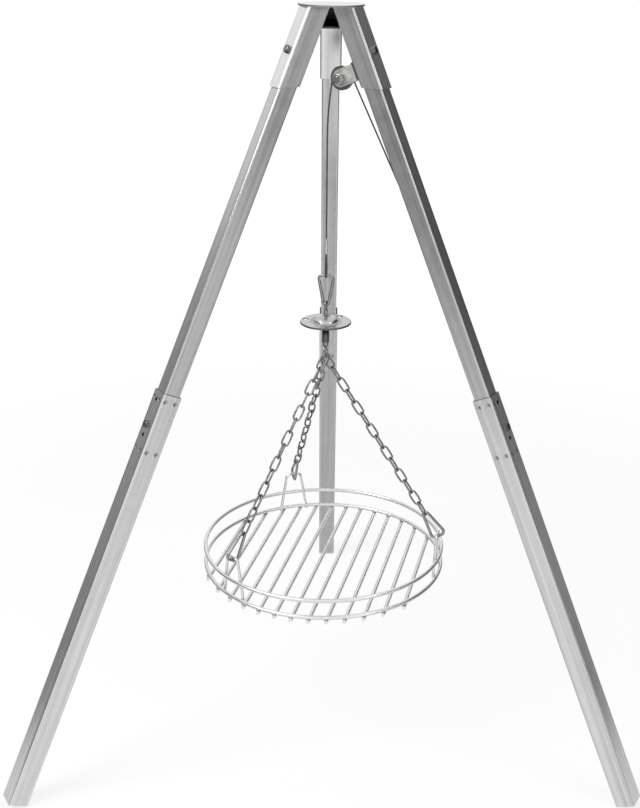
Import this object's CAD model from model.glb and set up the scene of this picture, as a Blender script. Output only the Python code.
import math

import bmesh
import bpy
from mathutils import Matrix, Vector


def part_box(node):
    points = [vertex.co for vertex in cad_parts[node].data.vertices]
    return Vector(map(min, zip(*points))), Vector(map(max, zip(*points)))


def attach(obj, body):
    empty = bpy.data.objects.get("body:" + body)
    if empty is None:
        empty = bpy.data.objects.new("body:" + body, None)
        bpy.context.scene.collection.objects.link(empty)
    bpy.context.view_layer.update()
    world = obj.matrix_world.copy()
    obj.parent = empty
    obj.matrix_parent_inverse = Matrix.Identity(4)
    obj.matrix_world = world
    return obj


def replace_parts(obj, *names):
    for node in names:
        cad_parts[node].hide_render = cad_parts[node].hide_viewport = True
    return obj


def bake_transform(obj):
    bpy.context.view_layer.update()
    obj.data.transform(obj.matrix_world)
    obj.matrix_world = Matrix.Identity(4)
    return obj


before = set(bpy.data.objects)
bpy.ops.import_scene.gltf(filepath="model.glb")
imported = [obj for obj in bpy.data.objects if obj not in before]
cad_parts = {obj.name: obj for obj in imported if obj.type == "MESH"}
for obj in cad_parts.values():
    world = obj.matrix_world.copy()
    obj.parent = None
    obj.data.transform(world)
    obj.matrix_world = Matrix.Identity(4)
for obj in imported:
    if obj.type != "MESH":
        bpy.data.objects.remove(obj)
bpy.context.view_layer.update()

# Camera: it stands 2.3 m in front of the grill at eye height, looks down on it and is turned a
# little to the right. Its lens is 69 mm long, and the picture is 640 pixels wide.
pitch, yaw, roll = math.radians(21.564), math.radians(1.578), math.radians(1.145)
stand = Vector((0.00179, -2.46021, 1.60932))
picture_width, picture_middle, focal_length = 640, 360, 1230.49
ahead = Vector((math.sin(yaw) * math.cos(pitch), math.cos(yaw) * math.cos(pitch),
                -math.sin(pitch)))
level = Vector((math.cos(yaw), -math.sin(yaw), 0))
above = level.cross(ahead)
right_hand = math.cos(roll) * level + math.sin(roll) * above
overhead = math.cos(roll) * above - math.sin(roll) * level
bpy.ops.object.camera_add()
camera = bpy.context.object
camera.matrix_world = (Matrix.Translation(stand)
                       @ Matrix((right_hand, overhead, -ahead)).transposed().to_4x4())
camera.data.sensor_fit = "HORIZONTAL"
camera.data.sensor_width = 36
camera.data.lens = focal_length / picture_width * camera.data.sensor_width
camera.data.shift_x = (picture_width / 2 - picture_middle) / picture_width
bpy.context.scene.camera = camera
bpy.context.scene.view_settings.view_transform = "Standard"


# Floor: a wide sheet of white paper under the grill. The camera and the polished metal see it
# nearly white, and it keeps the soft shadow of the legs and the grate.
class Value:
    """A socket of a material's nodes. Sums and products of values add their Math nodes."""

    def __init__(self, tree, socket=None):
        self.tree, self.socket = tree, socket

    def node(self, kind, sockets=None, out=0, stops=None, **settings):
        made = self.tree.nodes.new("ShaderNode" + kind)
        for name, setting in settings.items():
            setattr(made, name, setting)
        for place, colour in stops or []:
            stop = made.color_ramp.elements.new(place)
            stop.color = colour
        for name, value in (sockets or {}).items():
            if isinstance(value, Value):
                self.tree.links.new(value.socket, made.inputs[name])
            else:
                made.inputs[name].default_value = value
        return Value(self.tree, made.outputs[out])

    def math(self, operation, other=0.0):
        return self.node("Math", {0: self, 1: other}, operation=operation)

    def __add__(self, other):
        return self.math("ADD", other)

    def __sub__(self, other):
        return self.math("SUBTRACT", other)

    def __mul__(self, other):
        return self.math("MULTIPLY", other)

    def __rsub__(self, other):
        return self.node("Math", {0: other, 1: self}, operation="SUBTRACT")

    __radd__, __rmul__ = __add__, __mul__

    def between(self, low, high):
        """0 below low, 1 above high, and a soft step between them."""
        return self.node("MapRange", {0: self, 1: low, 2: high}, interpolation_type="SMOOTHSTEP")


def new_material(name):
    material = bpy.data.materials.new(name)
    material.use_nodes = True
    material.node_tree.nodes.clear()
    return material, Value(material.node_tree)


def surface(start, shader):
    output = start.tree.nodes.new("ShaderNodeOutputMaterial")
    start.tree.links.new(shader.socket, output.inputs["Surface"])


def seen_directly(start):
    """1 for what the camera sees itself, in metal or through glass, and 0 for light on things."""
    camera_ray = start.node("LightPath", out="Is Camera Ray")
    glossy_ray = start.node("LightPath", out="Is Glossy Ray")
    clear_ray = start.node("LightPath", out="Is Transmission Ray")
    return camera_ray.math("MAXIMUM", glossy_ray).math("MAXIMUM", clear_ray)


def all_deselected():
    bpy.ops.object.select_all(action="DESELECT")


all_deselected()
bpy.ops.mesh.primitive_circle_add(vertices=64, radius=30, fill_type="NGON", location=(0, 0, 0))
floor = bpy.context.object
floor.name = "paper_floor"
PAPER_WHITE = (0.95, 0.95, 0.95)
SHADOW_ENDS = (1.0, 3.2)
paper, start = new_material("white_paper")
spot = start.node("TexCoord", out="Object")
far = spot.node("VectorMath", {0: spot}, operation="LENGTH", out="Value").between(*SHADOW_ENDS)
fibre = start.node("TexNoise", {"Vector": spot, "Scale": 90.0, "Detail": 3.0})
lit = start.node("BsdfDiffuse", {"Color": start.node(
    "VectorMath", {0: PAPER_WHITE, "Scale": fibre * 0.03 + 0.985}, operation="SCALE")})
glow = start.node("Emission", {"Color": (1, 1, 1, 1), "Strength": 1.05})
surface(start, start.node(
    "MixShader", {0: seen_directly(start) * (far * 0.25 + 0.75), 1: lit, 2: glow}))
floor.data.materials.append(paper)

# Studio: white surroundings, one large soft lamp from the upper left, a weaker one from the
# front right, and grey cards round the grill that only the metal reflects, so its faces differ.
world = bpy.data.worlds.new("studio")
bpy.context.scene.world = world
world.use_nodes = True
world.node_tree.nodes.clear()
start = Value(world.node_tree)
room = start.node("Background", {"Color": (1, 1, 1, 1), "Strength": 0.55})
backdrop = start.node("Background", {"Color": (1, 1, 1, 1), "Strength": 1.0})
output = world.node_tree.nodes.new("ShaderNodeOutputWorld")
world.node_tree.links.new(
    start.node("MixShader", {0: seen_directly(start), 1: room, 2: backdrop}).socket,
    output.inputs["Surface"])


def soft_lamp(place, target, size, watts):
    bpy.ops.object.light_add(type="AREA", location=place)
    lamp = bpy.context.object
    lamp.rotation_euler = (Vector(target) - Vector(place)).to_track_quat("-Z", "Y").to_euler()
    lamp.data.shape = "SQUARE"
    lamp.data.size = size
    lamp.data.energy = watts


def grey_card(name, corners, grey):
    """A card of that grey with those four corners, which only metal sees."""
    mesh = bpy.data.meshes.new(name)
    mesh.from_pydata(corners, [], [(0, 1, 2, 3)])
    card = bpy.data.objects.new(name, mesh)
    bpy.context.scene.collection.objects.link(card)
    material, start = new_material(name)
    surface(start, start.node("Emission", {"Color": (grey, grey, grey, 1), "Strength": 1.0}))
    mesh.materials.append(material)
    card.visible_camera = card.visible_diffuse = card.visible_shadow = False
    card.visible_transmission = False


soft_lamp((-2.4, -1.6, 3.2), (0, 0, 0.6), 1.8, 70)
soft_lamp((2.6, -2.2, 2.4), (0, 0, 0.6), 1.4, 18)
# Upright cards stand to the left and right, flat ones lie on the floor beside and behind.
CARD_OUT = 2.4
MAT_UP = 0.004
for name, x, y0, y1, z0, z1, grey in [("front_left_card", -CARD_OUT, -3.2, 0.4, 0.0, 2.4, 0.26),
                                      ("back_left_card", -CARD_OUT, 0.4, 3.4, 0.0, 1.45, 0.36),
                                      ("front_right_card", CARD_OUT, -3.2, -1.0, 0.55, 2.4, 0.24),
                                      ("back_right_card", CARD_OUT, -1.0, 3.4, 0.7, 3.2, 0.11),
                                      ("low_right_card", CARD_OUT, -1.0, 3.4, 0.0, 0.7, 0.34)]:
    grey_card(name, [(x, y0, z0), (x, y1, z0), (x, y1, z1), (x, y0, z1)], grey)
for name, x0, x1, y0, y1, grey in [("left_mat", -CARD_OUT, -1.15, -1.6, 3.4, 0.30),
                                   ("right_mat", 1.15, CARD_OUT, -1.6, 3.4, 0.30),
                                   ("back_mat", -1.15, 1.15, 1.5, 3.4, 0.30),
                                   ("middle_mat", -0.45, 0.45, -0.55, 0.5, 0.68)]:
    grey_card(name, [(x0, y0, MAT_UP), (x1, y0, MAT_UP), (x1, y1, MAT_UP), (x0, y1, MAT_UP)], grey)

# Head plate: a round disc of 3 mm sheet steel on top of the sockets, sawn out and brushed, with
# a satin face and a darker sawn rim.
HEAD_Z = 1.467034
PLATE = 0.003
PLATE_R = 0.060
TRIPOD_MIDDLE = Vector((0, -0.168873, 0))
CROSSWISE = ((1, 0, 0), (0, 1, 0), (0, 0, 1))


def steel(name, tone, rough, origin=(0, 0, 0), axes=CROSSWISE, grain=(900, 900, 14), clouds=28,
          streak=0.10, cloud=0.10, bump=0.05, marks=None):
    """Bare or plated steel. The grain's three scales go along the three axes from the origin.

    Grain and clouds change the tone and the roughness, and the grain is felt as bump. marks is
    called with the place along the three axes, and gives how much lighter and how much duller
    the steel is at that spot."""
    material, start = new_material(name)
    here = start.node("TexCoord", out="Object")
    here = here.node("VectorMath", {0: here, 1: origin}, operation="SUBTRACT")
    x, y, z = (here.node("VectorMath", {0: here, 1: axis}, operation="DOT_PRODUCT", out="Value")
               for axis in axes)
    grained = start.node("CombineXYZ", {0: x * grain[0], 1: y * grain[1], 2: z * grain[2]})
    fine = start.node("TexNoise", {"Vector": grained, "Scale": 1.0, "Detail": 4.0,
                                   "Roughness": 0.6})
    wide = start.node("CombineXYZ", {0: x * grain[0] * 0.12, 1: y * grain[1] * 0.12,
                                     2: z * grain[2] * 0.22})
    bands = start.node("TexNoise", {"Vector": wide, "Scale": 1.0, "Detail": 2.0})
    patches = start.node("TexNoise", {"Vector": here, "Scale": float(clouds), "Detail": 5.0,
                                      "Roughness": 0.62})
    specks = start.node("TexNoise", {"Vector": here, "Scale": 420.0, "Detail": 2.0})
    light = ((fine - 0.5) * streak + (bands - 0.5) * (3.6 * streak)
             + (patches - 0.5) * (2.0 * cloud) + (specks - 0.5) * (1.1 * streak) + 1.0)
    dull = (fine - 0.5) * 0.22 + (patches - 0.5) * (2.0 * cloud) + rough
    if marks:
        lighter, duller = marks(start, x, y, z)
        light, dull = light * lighter, dull + duller
    colour = start.node("VectorMath", {0: tone, "Scale": light}, operation="SCALE")
    bumped = start.node("Bump", {"Height": fine, "Strength": bump, "Distance": 0.0004})
    surface(start, start.node("BsdfPrincipled", {
        "Base Color": colour, "Metallic": 1.0, "Roughness": dull, "Normal": bumped}))
    return material


def dress(material, *nodes):
    for node in nodes:
        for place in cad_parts[node].material_slots:
            place.material = material


def from_line(x, y):
    """Distance from the third axis."""
    return (x * x + y * y).math("POWER", 0.5)


def sawn_rim(start, x, y, z):
    rim = from_line(x, y).between(PLATE_R - 0.0012, PLATE_R - 0.0003)
    return 1 - rim * 0.62, rim * 0.2


dress(steel("satin_sheet", (0.76, 0.76, 0.75), 0.34, TRIPOD_MIDDLE, grain=(40, 900, 40), streak=0.05,
            cloud=0.05, marks=sawn_rim), "head_plate")


# Sockets: three short pieces of 40 mm square steel tube, cut level at both ends and welded
# under the plate. They are bright zinc plated, with drawing marks along the tube.
SPLAY = math.radians(24.25)
LEGS = {"left": 210, "right": 330, "rear": 90}
HEAD_R = 0.032
TUBE = 0.040


def leg_axes(leg):
    """Where the leg's axis starts, and its inward, sideways and downward directions."""
    azimuth = math.radians(LEGS[leg])
    out = Vector((math.cos(azimuth), math.sin(azimuth), 0))
    inward = Vector((0, 0, -math.sin(SPLAY))) - out * math.cos(SPLAY)
    down = Vector((0, 0, -math.cos(SPLAY))) + out * math.sin(SPLAY)
    start = TRIPOD_MIDDLE + out * HEAD_R + Vector((0, 0, HEAD_Z))
    return start, inward, down.cross(inward), down


def on_leg(leg, inward, sideways, down):
    """The point that far from the start of the leg's axis along its three directions."""
    start, *axes = leg_axes(leg)
    return start + sum((axis * step for axis, step in zip(axes, (inward, sideways, down))), Vector())


def rubbed_corners(width, ends=0.10):
    """The corners of a square tube of that width are rubbed bright, and its sawn ends are dark."""
    def marks(start, x, y, z):
        half, across, beside = width / 2, x.math("ABSOLUTE"), y.math("ABSOLUTE")
        edge = (across.between(half - 0.0045, half - 0.001)
                * beside.between(half - 0.0045, half - 0.001))
        hollow = 1 - across.math("MAXIMUM", beside).between(half - 0.0012, half - 0.0006)
        return (edge * 0.16 + 1) * (1 - hollow * (1 - ends)), edge * -0.10 + hollow * 0.2
    return marks


for leg in LEGS:
    at, inward, sideways, down = leg_axes(leg)
    dress(steel("zinc_socket_" + leg, (0.70, 0.70, 0.70), 0.30, at, (inward, sideways, down),
                grain=(900, 900, 6), streak=0.20, cloud=0.04, marks=rubbed_corners(TUBE)),
          "socket_" + leg)


def move_in(piece, place=Matrix()):
    """Puts the piece's place into its mesh, so that its object sits at the origin."""
    piece.data.transform(place @ piece.matrix_basis)
    piece.matrix_basis = Matrix()


def settle(piece, name, body, material, place=Matrix(), smooth=30):
    """Moves the piece in, and gives it its name, finish and body."""
    move_in(piece, place)
    piece.name = name
    piece.data.materials.clear()
    piece.data.materials.append(material)
    all_deselected()
    piece.select_set(True)
    bpy.context.view_layer.objects.active = piece
    bpy.ops.object.shade_smooth_by_angle(angle=math.radians(smooth))
    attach(piece, body)
    return piece


def joined(pieces):
    all_deselected()
    for piece in pieces:
        piece.select_set(True)
    bpy.context.view_layer.objects.active = pieces[0]
    bpy.ops.object.join()
    return pieces[0]


def copy_at(piece, place):
    """A copy of the piece, with a mesh of its own, at that place."""
    made = piece.copy()
    made.data = piece.data.copy()
    bpy.context.scene.collection.objects.link(made)
    made.data.transform(place)
    return made


def axes_matrix(x, y, z, at):
    return Matrix.Translation(at) @ Matrix((x, y, z)).transposed().to_4x4()


def weld_bead(name, body, seams, width, material):
    """A bead of overlapping drops along each seam, from one point to another."""
    all_deselected()
    bpy.ops.mesh.primitive_ico_sphere_add(subdivisions=2, radius=1)
    drop = bpy.context.object
    bpy.ops.object.mode_set(mode="EDIT")
    bpy.ops.mesh.select_all(action="SELECT")
    bpy.ops.transform.vertex_random(offset=0.10, uniform=1.0, seed=4)
    bpy.ops.object.mode_set(mode="OBJECT")
    drops = []
    for seam_start, seam_end in seams:
        way = seam_end - seam_start
        turn = way.to_track_quat("X", "Z").to_matrix().to_4x4()
        steps = max(1, round(way.length / (0.42 * width)))
        for step in range(steps + 1):
            spot = seam_start + way * (step / steps)
            drops.append(copy_at(drop, Matrix.Translation(spot) @ turn
                                 @ Matrix.Diagonal((0.40 * width, 0.5 * width, 0.5 * width, 1))
                                 @ Matrix.Rotation(2.1 * len(drops), 4, "X")))
    bpy.data.objects.remove(drop)
    return settle(joined(drops), name, body, material, smooth=60)


grey_weld = steel("weld_metal", (0.46, 0.46, 0.46), 0.34, grain=(500, 500, 500), clouds=240,
                  cloud=0.3)
level_z = HEAD_Z - PLATE
for leg in LEGS:
    at, inward, sideways, down = leg_axes(leg)
    corners = []
    for across, side in ((-0.5, -0.40), (-0.5, 0.40), (-0.40, 0.5), (0.02, 0.5), (-0.40, -0.5),
                         (0.02, -0.5)):
        foot = at + inward * (across * TUBE) + sideways * (side * TUBE)
        corners.append(foot + down * ((level_z - foot.z) / down.z))
    weld_bead("head_weld_" + leg, "head",
              [(corners[a], corners[b]) for a, b in ((0, 1), (1, 2), (2, 3), (0, 4), (4, 5))],
              0.0030, grey_weld)

# Upper and lower legs: drawn square tubes, brushed lengthwise, the lower one sliding over the
# upper one. Handling has rubbed their corners bright. The lower one has tapped holes, which
# have left dark spots of grease on the upper one, and pressed dimples that centre it.
UPPER_TUBE = 0.0335
SLEEVE_TOP = 0.745
TAPPED_R = 0.0034
TAPPED_HOLES = (SLEEVE_TOP + 0.016, SLEEVE_TOP + 0.087)
DIMPLES = (SLEEVE_TOP + 0.014, SLEEVE_TOP + 0.115)
DIMPLE_SIDE = 0.010


def greased_upper(start, x, y, z):
    lighter, duller = rubbed_corners(UPPER_TUBE)(start, x, y, z)
    outside = 1 - x.between(-0.0165, -0.0160)
    for hole in TAPPED_HOLES:
        near = 1 - from_line(y, z - hole).between(TAPPED_R + 0.0002, TAPPED_R + 0.0008)
        lighter = lighter * (1 - near * outside * 0.96)
    return lighter, duller


def drilled_lower(start, x, y, z):
    lighter, duller = rubbed_corners(TUBE)(start, x, y, z)
    outside = 1 - x.between(-0.0172, -0.0168)
    for hole in TAPPED_HOLES:
        wall = (1 - from_line(y, z - hole).between(TAPPED_R + 0.0001, TAPPED_R + 0.0005)) * outside
        lighter = lighter * (1 - wall * 0.96)
    beside = x.math("ABSOLUTE").math("MINIMUM", y.math("ABSOLUTE")) - DIMPLE_SIDE
    for row in DIMPLES:
        reach = from_line(beside, z - row)
        ring = reach.between(0.0024, 0.0034) * (1 - reach.between(0.0040, 0.0050))
        lighter = lighter * (1 - ring * 0.45)
    return lighter, duller


for leg in LEGS:
    at, inward, sideways, down = leg_axes(leg)
    dress(steel("brushed_upper_" + leg, (0.52, 0.52, 0.515), 0.33, at, (inward, sideways, down),
                grain=(1100, 1100, 7), clouds=34, streak=0.24, cloud=0.08, bump=0.08,
                marks=greased_upper), "upper_leg_" + leg)
    dress(steel("brushed_lower_" + leg, (0.60, 0.60, 0.60), 0.32, at, (inward, sideways, down),
                grain=(1000, 1000, 6), clouds=30, streak=0.22, cloud=0.08, bump=0.08,
                marks=drilled_lower), "lower_leg_" + leg)

# Clamp bolts: M8 hex bolts, blued dark, one through each socket's outer face and one through
# each lower leg's. The corners of their heads are turned off at 30 degrees.
blued = steel("blued_bolt", (0.20, 0.20, 0.205), 0.12, grain=(300, 300, 300), clouds=160,
              streak=0.10, cloud=0.30, bump=0.04)
BOLT = 0.008
BOLT_HEX = 0.013
BOLT_HEAD = 0.0053
SOCKET_BOLT = (0.092, 0.00325)
CLAMP_BOLT = (SLEEVE_TOP + 0.066, 0.00295)


def hexagon(width, height, hole=0):
    """A hex head or nut on z = 0 with one corner along x and its top corners turned off."""
    all_deselected()
    bpy.ops.mesh.primitive_cylinder_add(vertices=6, radius=width / math.sqrt(3), depth=height,
                                        location=(0, 0, height / 2), rotation=(0, 0, math.pi / 6))
    head = bpy.context.object
    top_r, above_top, slope = 0.47 * width, 0.001, math.sqrt(3)
    bpy.ops.mesh.primitive_cone_add(
        vertices=64, radius1=top_r + (height + above_top) * slope,
        radius2=top_r - above_top * slope, depth=height + 2 * above_top,
        location=(0, 0, height / 2))
    trim(head, bpy.context.object, "INTERSECT")
    if hole:
        bpy.ops.mesh.primitive_cylinder_add(vertices=48, radius=hole / 2, depth=3 * height)
        trim(head, bpy.context.object, "DIFFERENCE")
    return head


def trim(piece, tool, operation):
    """Cuts the piece with the tool, which goes away afterwards."""
    all_deselected()
    piece.select_set(True)
    bpy.context.view_layer.objects.active = piece
    bpy.ops.object.modifier_add(type="BOOLEAN")
    piece.modifiers[0].operation = operation
    piece.modifiers[0].object = tool
    bpy.ops.object.modifier_apply(modifier=piece.modifiers[0].name)
    bpy.data.objects.remove(tool)


def shank(width, length, lower_end):
    """A round shank with a small chamfer at its upper end."""
    all_deselected()
    bpy.ops.mesh.primitive_cylinder_add(vertices=32, radius=width / 2, depth=length,
                                        location=(0, 0, lower_end + length / 2))
    rod = bpy.context.object
    bpy.ops.object.mode_set(mode="EDIT")
    bpy.ops.mesh.select_all(action="DESELECT")
    bpy.ops.object.mode_set(mode="OBJECT")
    for face in rod.data.polygons:
        face.select = abs(face.normal.z) > 0.9
    bpy.ops.object.mode_set(mode="EDIT")
    bpy.ops.mesh.bevel(offset=0.08 * width, segments=2, affect="EDGES")
    bpy.ops.object.mode_set(mode="OBJECT")
    return rod


def outer_bolt(leg, along, length):
    """A hex bolt on the outer face of the leg's outer tube, with its shank through the wall."""
    _, inward, sideways, down = leg_axes(leg)
    place = axes_matrix(down, sideways, -inward, on_leg(leg, -TUBE / 2, 0, along))
    bolt = joined([hexagon(BOLT_HEX, BOLT_HEAD), shank(BOLT, length + 0.002, -length)])
    move_in(bolt, place)
    return bolt


socket_bolts = settle(joined([outer_bolt(leg, *SOCKET_BOLT) for leg in LEGS]),
                      "hex_socket_bolts", "head", blued, smooth=20)
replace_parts(socket_bolts, "socket_bolts")
for leg in LEGS:
    bolt = settle(outer_bolt(leg, *CLAMP_BOLT), "hex_clamp_bolt_" + leg, "leg_" + leg,
                  blued, smooth=20)
    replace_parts(bolt, "clamp_bolt_" + leg)

# Pulley: a turned steel wheel on a bronze bush, between the two cheeks of a bracket of bent
# sheet that is welded to the right socket. An M10 bolt with nut and lock nut is its axle.
PULLEY_DOWN = 0.1125
PULLEY = on_leg("right", TUBE / 2 + 0.0395, 0, PULLEY_DOWN)
RIGHT_TURN = math.radians(LEGS["right"])
RIGHT_OUT = Vector((math.cos(RIGHT_TURN), math.sin(RIGHT_TURN), 0))
RIGHT_SIDE = Vector((-RIGHT_OUT.y, RIGHT_OUT.x, 0))
UP = Vector((0, 0, 1))
wheel_axes = (RIGHT_OUT, UP, -RIGHT_SIDE)
dress(steel("turned_wheel", (0.20, 0.20, 0.20), 0.30, PULLEY, wheel_axes, grain=(260, 260, 260),
            clouds=60), "pulley_wheel")
dress(steel("bronze_bush", (0.62, 0.44, 0.24), 0.32, PULLEY, wheel_axes, grain=(260, 260, 260),
            clouds=90), "pulley_bush")


def pressed_cheek(start, x, y, z):
    out = from_line(x, y)
    worn = out.between(0.0075, 0.0095) * (1 - out.between(0.0120, 0.0150))
    return 1 - worn * 0.30, worn * 0.05


dress(steel("bracket_sheet", (0.78, 0.78, 0.77), 0.40, PULLEY, wheel_axes, grain=(420, 420, 420),
            clouds=90, cloud=0.22, streak=0.10, marks=pressed_cheek), "pulley_bracket")
zinc = steel("zinc_hardware", (0.42, 0.42, 0.41), 0.22, grain=(300, 300, 300), clouds=160,
             streak=0.10, cloud=0.22, bump=0.04)
AXLE = 0.010
AXLE_HEX = 0.017
AXLE_HEAD = 0.0064
AXLE_OUT = 0.0088
LOCK_NUT = 0.005
NUT = 0.008
axle_place = axes_matrix(*wheel_axes, PULLEY) @ Matrix.Rotation(math.pi / 6 + SPLAY, 4, "Z")
axle_bolt = hexagon(AXLE_HEX, AXLE_HEAD)
move_in(axle_bolt, Matrix.Translation((0, 0, -AXLE_OUT)) @ Matrix.Diagonal((1, 1, -1, 1)))
axle_bolt.data.flip_normals()
axle_bolt = joined([axle_bolt, shank(AXLE, 0.0345, -AXLE_OUT - AXLE_HEAD / 2)])
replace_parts(settle(axle_bolt, "axle_bolt", "head", zinc, axle_place, smooth=20),
            "pulley_bolt")
for name, node, foot, height in (("axle_lock_nut", "pulley_lock_nut", AXLE_OUT, LOCK_NUT),
                                 ("axle_nut", "pulley_nut", AXLE_OUT + LOCK_NUT, NUT)):
    nut = hexagon(AXLE_HEX, height, hole=0.0101)
    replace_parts(settle(nut, name, "head", zinc,
                       axle_place @ Matrix.Translation((0, 0, foot)), smooth=20), node)
dress(zinc, "pulley_washers", "cleat_screws", "rope_tail_sleeve", "top_hook_rivet",
      "hook_left_rivet", "hook_right_rivet", "hook_rear_rivet", "swivel_washer")
burnt_weld = steel("burnt_weld", (0.10, 0.095, 0.09), 0.45, grain=(500, 500, 500), clouds=240,
                   cloud=0.5)
corners = [on_leg("right", TUBE / 2 + 0.0006, side * 0.0188, PULLEY_DOWN + end * 0.0150)
           for side, end in ((-1, -1), (-1, 1), (1, 1), (1, -1))]
weld_bead("bracket_weld", "head", [(corners[i], corners[(i + 1) % 4]) for i in range(4)], 0.0028,
          burnt_weld)

# Cleat: a cast horn cleat on the rear face of the right upper tube. Its base is held by two
# screws, its neck is waisted, and its two horns get thinner towards their round ends.
CLEAT_IN = 0.007
CLEAT_DOWN = 0.600
CLEAT_BASE = 0.003
cast = steel("cast_cleat", (0.40, 0.40, 0.40), 0.42, grain=(200, 200, 200), clouds=120, cloud=0.2)
all_deselected()
bpy.ops.mesh.primitive_cube_add(size=1, location=(0, 0, CLEAT_BASE / 2),
                                scale=(0.016, 0.056, CLEAT_BASE))
cleat_base = bpy.context.object
bpy.ops.object.transform_apply()
for edge in cleat_base.data.edges:
    ends = [cleat_base.data.vertices[i].co for i in edge.vertices]
    edge.select = abs(ends[0].z - ends[1].z) > 0.001
bpy.ops.object.mode_set(mode="EDIT")
bpy.ops.mesh.select_mode(type="EDGE")
bpy.ops.mesh.bevel(offset=0.005, segments=5, affect="EDGES")
bpy.ops.object.mode_set(mode="OBJECT")
for face in cleat_base.data.polygons:
    face.select = face.normal.z > 0.9
bpy.ops.object.mode_set(mode="EDIT")
bpy.ops.mesh.bevel(offset=0.0009, segments=2, affect="EDGES")
bpy.ops.object.mode_set(mode="OBJECT")
NECK_FOOT = 0.002
HORN_UP = CLEAT_BASE + 0.0165 + 0.003
HORN_RUN = 0.029


def cut_across(direction, places):
    """Cuts the piece in hand across that direction, so that it can be shaped there."""
    bpy.ops.object.mode_set(mode="EDIT")
    for place in places:
        bpy.ops.mesh.select_all(action="SELECT")
        bpy.ops.mesh.bisect(plane_co=Vector(direction) * place, plane_no=direction)
    bpy.ops.object.mode_set(mode="OBJECT")


all_deselected()
bpy.ops.mesh.primitive_cylinder_add(vertices=32, radius=0.005, depth=HORN_UP - NECK_FOOT,
                                    location=(0, 0, NECK_FOOT + (HORN_UP - NECK_FOOT) / 2))
neck = bpy.context.object
bpy.ops.object.transform_apply()
cut_across((0, 0, 1), (0.0035, 0.005, 0.008, 0.013, 0.018))
for vertex in neck.data.vertices:
    waist = 0.94 + 0.30 * max(0, 1 - (vertex.co.z - NECK_FOOT) / 0.003) ** 2
    vertex.co.x, vertex.co.y = vertex.co.x * waist, vertex.co.y * waist
all_deselected()
bpy.ops.mesh.primitive_uv_sphere_add(segments=24, ring_count=16, radius=0.004,
                                     location=(0, 0, HORN_UP), rotation=(math.pi / 2, 0, 0))
horns = bpy.context.object
bpy.ops.object.transform_apply()
for vertex in horns.data.vertices:
    if abs(vertex.co.y) > 1e-5:
        vertex.co.y += math.copysign(HORN_RUN, vertex.co.y)
cut_across((0, 1, 0), (-0.028, -0.02, -0.010, 0.010, 0.02, 0.028))
for vertex in horns.data.vertices:
    thin = 1 - 0.22 * min(1, abs(vertex.co.y) / (HORN_RUN + 0.001)) ** 2
    vertex.co.x *= thin
    vertex.co.z = HORN_UP + (vertex.co.z - HORN_UP) * thin
_, inward, sideways, down = leg_axes("right")
cleat_axes = axes_matrix(inward, -down, sideways,
                         on_leg("right", CLEAT_IN, UPPER_TUBE / 2, CLEAT_DOWN))
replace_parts(settle(joined([cleat_base, neck, horns]), "horn_cleat", "head", cast,
                   cleat_axes), "rope_cleat")

# Rope: six strands of galvanised wire laid round each other, 3.2 mm thick. It comes up from the
# hanging line, runs over the wheel, down the right leg, three times round the cleat and ends in
# a sleeve. Its straight fall gets longer and shorter, and ends in an eye with a ferrule.
ROPE_R = 0.0016
LAY = 0.021
AROUND = 24
HANG_OUT = -0.006
HANG = TRIPOD_MIDDLE + RIGHT_OUT * HANG_OUT
HANG_TURN = math.radians(-13)
SLANT = math.radians(10)
PATH = 0.0195
FALL_TOP = PULLEY.z - 0.110
FALL_END = FALL_TOP - 0.190
dark_rope = steel("wire_rope", (0.15, 0.15, 0.15), 0.34, grain=(900, 900, 900), clouds=300,
                  cloud=0.3)


def laid_rope(name, body, route):
    """Six strands that turn once round the rope in each lay, along a route of points.

    Each strand shows as an arc of four points, on a circle a third as wide as the rope. A rope
    without a body is blended across its joint afterwards."""
    spots = [route[0]]
    for point in route[1:]:
        if (point - spots[-1]).length > 0.0014:
            pieces_here = max(1, round((point - spots[-1]).length / 0.0020))
            last = spots[-1]
            spots += [last.lerp(point, k / pieces_here) for k in range(1, pieces_here + 1)]
    mesh = bmesh.new()
    rings, gone = [], 0.0
    side = Vector((0.3, 0.9, 0.1))
    for i, spot in enumerate(spots):
        ahead_of = (spots[min(i + 1, len(spots) - 1)] - spots[max(i - 1, 0)]).normalized()
        side = (side - ahead_of * side.dot(ahead_of)).normalized()
        other = ahead_of.cross(side)
        if i:
            gone += (spot - spots[i - 1]).length
        ring = []
        for j in range(AROUND):
            within = math.radians((j % 4) * 15 - 30)
            reach = ROPE_R * (2 / 3 * math.cos(within)
                              + math.sqrt(1 / 9 - (2 / 3 * math.sin(within)) ** 2 + 1e-9))
            turn = math.tau * (j / AROUND + gone / LAY)
            ring.append(mesh.verts.new(
                spot + reach * (math.cos(turn) * side + math.sin(turn) * other)))
        rings.append(ring)
    for before, after in zip(rings, rings[1:]):
        for j in range(AROUND):
            k = (j + 1) % AROUND
            mesh.faces.new((before[j], before[k], after[k], after[j]))
    mesh.faces.new(list(reversed(rings[0])))
    mesh.faces.new(rings[-1])
    made = bpy.data.meshes.new(name)
    mesh.to_mesh(made)
    mesh.free()
    rope = bpy.data.objects.new(name, made)
    bpy.context.scene.collection.objects.link(rope)
    if body:
        return settle(rope, name, body, dark_rope, smooth=50)
    rope.data.materials.append(dark_rope)
    return rope


def in_plane(out, up):
    """A point in the upright plane of the right leg."""
    return TRIPOD_MIDDLE + RIGHT_OUT * out + UP * up


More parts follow.
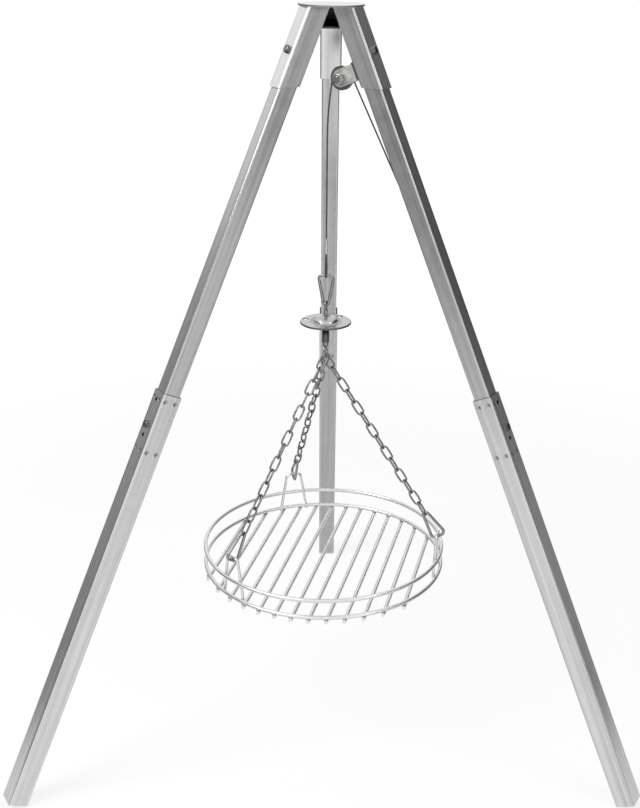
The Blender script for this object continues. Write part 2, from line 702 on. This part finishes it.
wheel_out = (PULLEY - TRIPOD_MIDDLE).dot(RIGHT_OUT)
leaves = math.pi - SLANT
bow_top = (wheel_out + PATH * math.cos(leaves), PULLEY.z + PATH * math.sin(leaves))
bow_rise = bow_top[1] - FALL_TOP
route = []
for i in range(3, 33):
    s = i / 32
    route.append(in_plane(HANG_OUT + (bow_top[0] - HANG_OUT) * s * s * (3 - 2 * s)
                          + bow_rise * math.tan(SLANT) * s * s * (s - 1), FALL_TOP + bow_rise * s))
last_angle = SPLAY + math.radians(3)
for i in range(1, 25):
    angle = leaves + (last_angle - leaves) * i / 24
    route.append(in_plane(wheel_out + PATH * math.cos(angle), PULLEY.z + PATH * math.sin(angle)))
WINDS = 3
WIND = 0.0069
WIND_PITCH = 0.0037
WIND_SIDE = UPPER_TUBE / 2 + CLEAT_BASE + 0.003
for i in range(24 * WINDS + 1):
    angle = math.tau * i / 24
    route.append(on_leg("right", CLEAT_IN + WIND * math.cos(angle), WIND_SIDE + WIND_PITCH * i / 24,
                        CLEAT_DOWN + WIND * math.sin(angle)))
route += [on_leg("right", CLEAT_IN + WIND, WIND_SIDE + WINDS * WIND_PITCH, CLEAT_DOWN + 0.0225 * i)
          for i in range(1, 5)]
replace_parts(laid_rope("wire_rope_run", "head", route), "rope_run")
fall = laid_rope("wire_rope_fall", None, [route[0].lerp(route[1], 0.1), HANG + UP * FALL_TOP,
                                         HANG + UP * (FALL_END - 0.004)])
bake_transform(fall)
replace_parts(fall, "rope_drop")

# Eye of the rope: the rope comes out of the ferrule, goes round the bar of the top hook and back
# into the ferrule. Its two sides spread a little on their way down to the bar.
EYE_AXIS = Vector((math.cos(HANG_TURN + math.pi / 2), math.sin(HANG_TURN + math.pi / 2), 0))
FERRULE = 0.030
FERRULE_END = FALL_END - FERRULE
HOOK_BAR = FERRULE_END - 0.042
APART = 0.0018
bend = 0.003 + ROPE_R + 0.0003
strand = [(APART, FERRULE_END + 0.004), (APART, FERRULE_END)] + [
    (APART + (bend - APART) * s + 0.0024 * math.sin(math.pi * s),
     FERRULE_END - 0.002 - 0.040 * s)
    for s in (i / 12 for i in range(13))]
under = [(bend * math.cos(math.pi * i / 16), HOOK_BAR - bend * math.sin(math.pi * i / 16))
         for i in range(1, 16)]
eye_route = strand + under + [(-across, z) for across, z in reversed(strand)]
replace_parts(laid_rope("wire_rope_eye", "rope_end",
                      [HANG + EYE_AXIS * across + UP * z for across, z in eye_route]), "rope_loop")

# Ferrule: an oval sleeve of drawn tube that closes the rope's eye. It is pressed on both sides of
# the eye at once, so its ends are rounded in.
pressed = steel("pressed_ferrule", (0.66, 0.66, 0.66), 0.34, grain=(400, 400, 60), clouds=200,
                cloud=0.25)
all_deselected()
bpy.ops.mesh.primitive_cylinder_add(vertices=40, radius=1, depth=1)
ferrule = bpy.context.object
bpy.ops.object.mode_set(mode="EDIT")
bpy.ops.mesh.select_all(action="SELECT")
bpy.ops.transform.resize(value=(0.0039, 0.0027, FERRULE))
bpy.ops.object.mode_set(mode="OBJECT")
cut_across((0, 0, 1), (-0.0115, -0.0075, 0.0, 0.0075, 0.0115, 0.0138, -0.0138))
for vertex in ferrule.data.vertices:
    drawn = 1 - 0.24 * (abs(vertex.co.z) / (FERRULE / 2)) ** 4
    vertex.co.x, vertex.co.y = vertex.co.x * drawn, vertex.co.y * drawn
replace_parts(settle(ferrule, "oval_ferrule", "rope_end", pressed,
                   Matrix.Translation(HANG + UP * (FERRULE_END + FERRULE / 2))
                   @ Matrix.Rotation(HANG_TURN + math.pi / 2, 4, "Z")), "rope_ferrule")

# Snap hooks: bent wire with a sprung gate on a rivet, dull plated. One hangs in the rope's eye
# and carries the swivel, and one under each chain holds a hanger of the grate.
hook_steel = steel("hook_steel", (0.32, 0.32, 0.32), 0.24, grain=(500, 500, 500), clouds=120,
                   cloud=0.16)
for hook in ("top_hook", "hook_left", "hook_right", "hook_rear"):
    dress(hook_steel, hook, hook + "_gate")

# Swivel: a pressed and polished disc with a dome, on a dark barrel, with an eye above and one
# below. The disc was spun, so fine rings run round it, and its edge and holes are dull.
DOME = 0.011
DISC = Vector((HANG.x, HANG.y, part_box("swivel_disc")[1][2] - DOME))
HOLE_CIRCLE = 0.0405


def spun_rings(start, x, y, z):
    out = from_line(x, y)
    rings = start.node("TexNoise", {"Vector": start.node("CombineXYZ", {0: out * 900.0}),
                                    "Scale": 1.0, "Detail": 3.0})
    edge = out.between(0.0482, 0.0494)
    groove = out.between(0.0262, 0.0272) * (1 - out.between(0.0300, 0.0312))
    holes = None
    for k in range(3):
        angle = HANG_TURN + math.radians(60 + 120 * k)
        rim = from_line(x - HOLE_CIRCLE * math.cos(angle), y - HOLE_CIRCLE * math.sin(angle))
        rim = 1 - rim.between(0.0060, 0.0074)
        holes = rim if holes is None else holes + rim
    lighter = ((rings - 0.5) * 0.5 + 1) * (1 - edge * 0.75) * (1 - groove * 0.35)
    return lighter * (1 - holes * 0.6), edge * 0.15


dress(steel("spun_disc", (0.52, 0.52, 0.52), 0.20, DISC, grain=(120, 120, 120), clouds=40,
            streak=0.04, cloud=0.10, marks=spun_rings), "swivel_disc")


def black_top(start, x, y, z):
    lower = 1 - z.between(-0.032, -0.020)
    return lower * 2.2 + 0.35, lower * 0.05


dress(steel("dark_barrel", (0.05, 0.05, 0.05), 0.30, DISC, grain=(160, 160, 900), clouds=80,
            cloud=0.3, marks=black_top), "swivel_barrel")
dress(hook_steel, "swivel_eye", "swivel_lower_eye")

# Chains: fourteen oval links of 4 mm wire each, bent, butt welded in the middle of one side and
# zinc plated. Each chain runs from the swivel's lower eye to its snap hook, and twists on its way.
chain_zinc = steel("chain_zinc", (0.25, 0.25, 0.25), 0.24, grain=(400, 400, 400), clouds=150,
                   cloud=0.25)
LINKS = 14
LINK_R = 0.006
LINK_RUN = 0.00985
all_deselected()
bpy.ops.mesh.primitive_torus_add(major_radius=LINK_R, minor_radius=0.002, major_segments=26,
                                 minor_segments=12, rotation=(0, 0, math.pi / 26))
link = bpy.context.object
bpy.ops.object.transform_apply()
for vertex in link.data.vertices:
    vertex.co.y += math.copysign(LINK_RUN, vertex.co.y)
cut_across((0, 1, 0), (-0.008, -0.005, -0.0025, -0.0012, 0.0, 0.0012, 0.0025, 0.005, 0.008))
for vertex in link.data.vertices:
    here = vertex.co
    if abs(here.y) < LINK_RUN + 0.001:
        middle = math.copysign(LINK_R, here.x)
        weld = 0.16 * math.exp(-(here.y / 0.0013) ** 2) if here.x < 0 else 0
        here.x = middle + (here.x - middle) * (1 + weld)
        here.z *= 1 + weld
    here.x += math.copysign(0.0010, here.x) * max(0, math.cos(here.y / 0.0165 * math.pi / 2))

# Each hanger leans out a little from the lower ring to the upper one. Its bar, which holds the
# snap hook, is 47 mm above the upper ring.
EYE_R = 0.0125
RIM_GAP = 0.037
BAR_RISE = 0.047
HANGER_R = 0.2393
eye_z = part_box("swivel_barrel")[0][2] - EYE_R - 0.0065
low_out, high_out = (math.sqrt(HANGER_R ** 2 - half ** 2) for half in (0.029483, 0.023103))
bar_out = low_out + (RIM_GAP + BAR_RISE) * (high_out - low_out) / RIM_GAP
bar_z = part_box("rim_upper")[0][2] + 0.004 + BAR_RISE
HOOK_TAKES = 0.0738
FIRST_LINK = 0.01125
for side, azimuth, eye_angle in (("left", 222, -31), ("right", -13, 0), ("rear", 107, 31)):
    azimuth, eye_angle = math.radians(azimuth), math.radians(eye_angle)
    chain_top = (HANG + EYE_AXIS * EYE_R * math.sin(eye_angle)
                 + UP * (eye_z - EYE_R * math.cos(eye_angle)))
    bar = HANG + Vector((math.cos(azimuth), math.sin(azimuth), 0)) * bar_out + UP * bar_z
    way = (bar - chain_top).normalized()
    pitch_of_links = ((bar - chain_top).length - HOOK_TAKES) / (LINKS - 1)
    ring = EYE_AXIS * math.cos(eye_angle) + UP * math.sin(eye_angle)
    face = (ring - way * ring.dot(way)).normalized()
    beside = way.cross(face)
    along_bar = Vector((-math.sin(azimuth), math.cos(azimuth), 0))
    twist = math.atan2(along_bar.dot(beside), along_bar.dot(face))
    twist -= math.pi * ((twist > math.pi / 2) - (twist < -math.pi / 2))
    chain = []
    for i in range(LINKS):
        turn = twist * (i + 0.5) / LINKS + math.pi / 2 * (i % 2)
        normal = face * math.cos(turn) + beside * math.sin(turn)
        chain.append(copy_at(link, axes_matrix(way.cross(normal), way, normal,
                                               chain_top + way * (FIRST_LINK + i * pitch_of_links))))
    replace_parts(settle(joined(chain), "link_chain_" + side, "grate", chain_zinc, smooth=60),
                "chain_" + side)
bpy.data.objects.remove(link)

# Grate: two rings of 8 mm wire with thirteen bars under them and three hangers, polished. Each
# bar is spot welded to the lower ring.
dress(steel("grate_wire", (0.75, 0.75, 0.75), 0.26, grain=(260, 260, 260), clouds=60, streak=0.06,
            cloud=0.08), "rim_upper", "rim_lower", "grate_bars",
      "hanger_left", "hanger_right", "hanger_rear")
low_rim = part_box("rim_lower")[0][2]
RIM_R = 0.246
BAR_PITCH = 0.034
BAR_OFF = 0.006
BAR_WAY = EYE_AXIS
BAR_SIDE = Vector((-BAR_WAY.y, BAR_WAY.x, 0))
seams = []
for i in range(-6, 7):
    off = i * BAR_PITCH + BAR_OFF
    reach = math.sqrt(RIM_R ** 2 - off ** 2)
    for end in (-1, 1):
        spot = HANG + BAR_SIDE * off + BAR_WAY * (end * reach) + UP * low_rim
        seams += [(spot + BAR_SIDE * s * 0.0034 - BAR_WAY * 0.001,
                   spot + BAR_SIDE * s * 0.0034 + BAR_WAY * 0.001) for s in (-1, 1)]
weld_bead("grate_welds", "grate", seams, 0.0036, grey_weld)
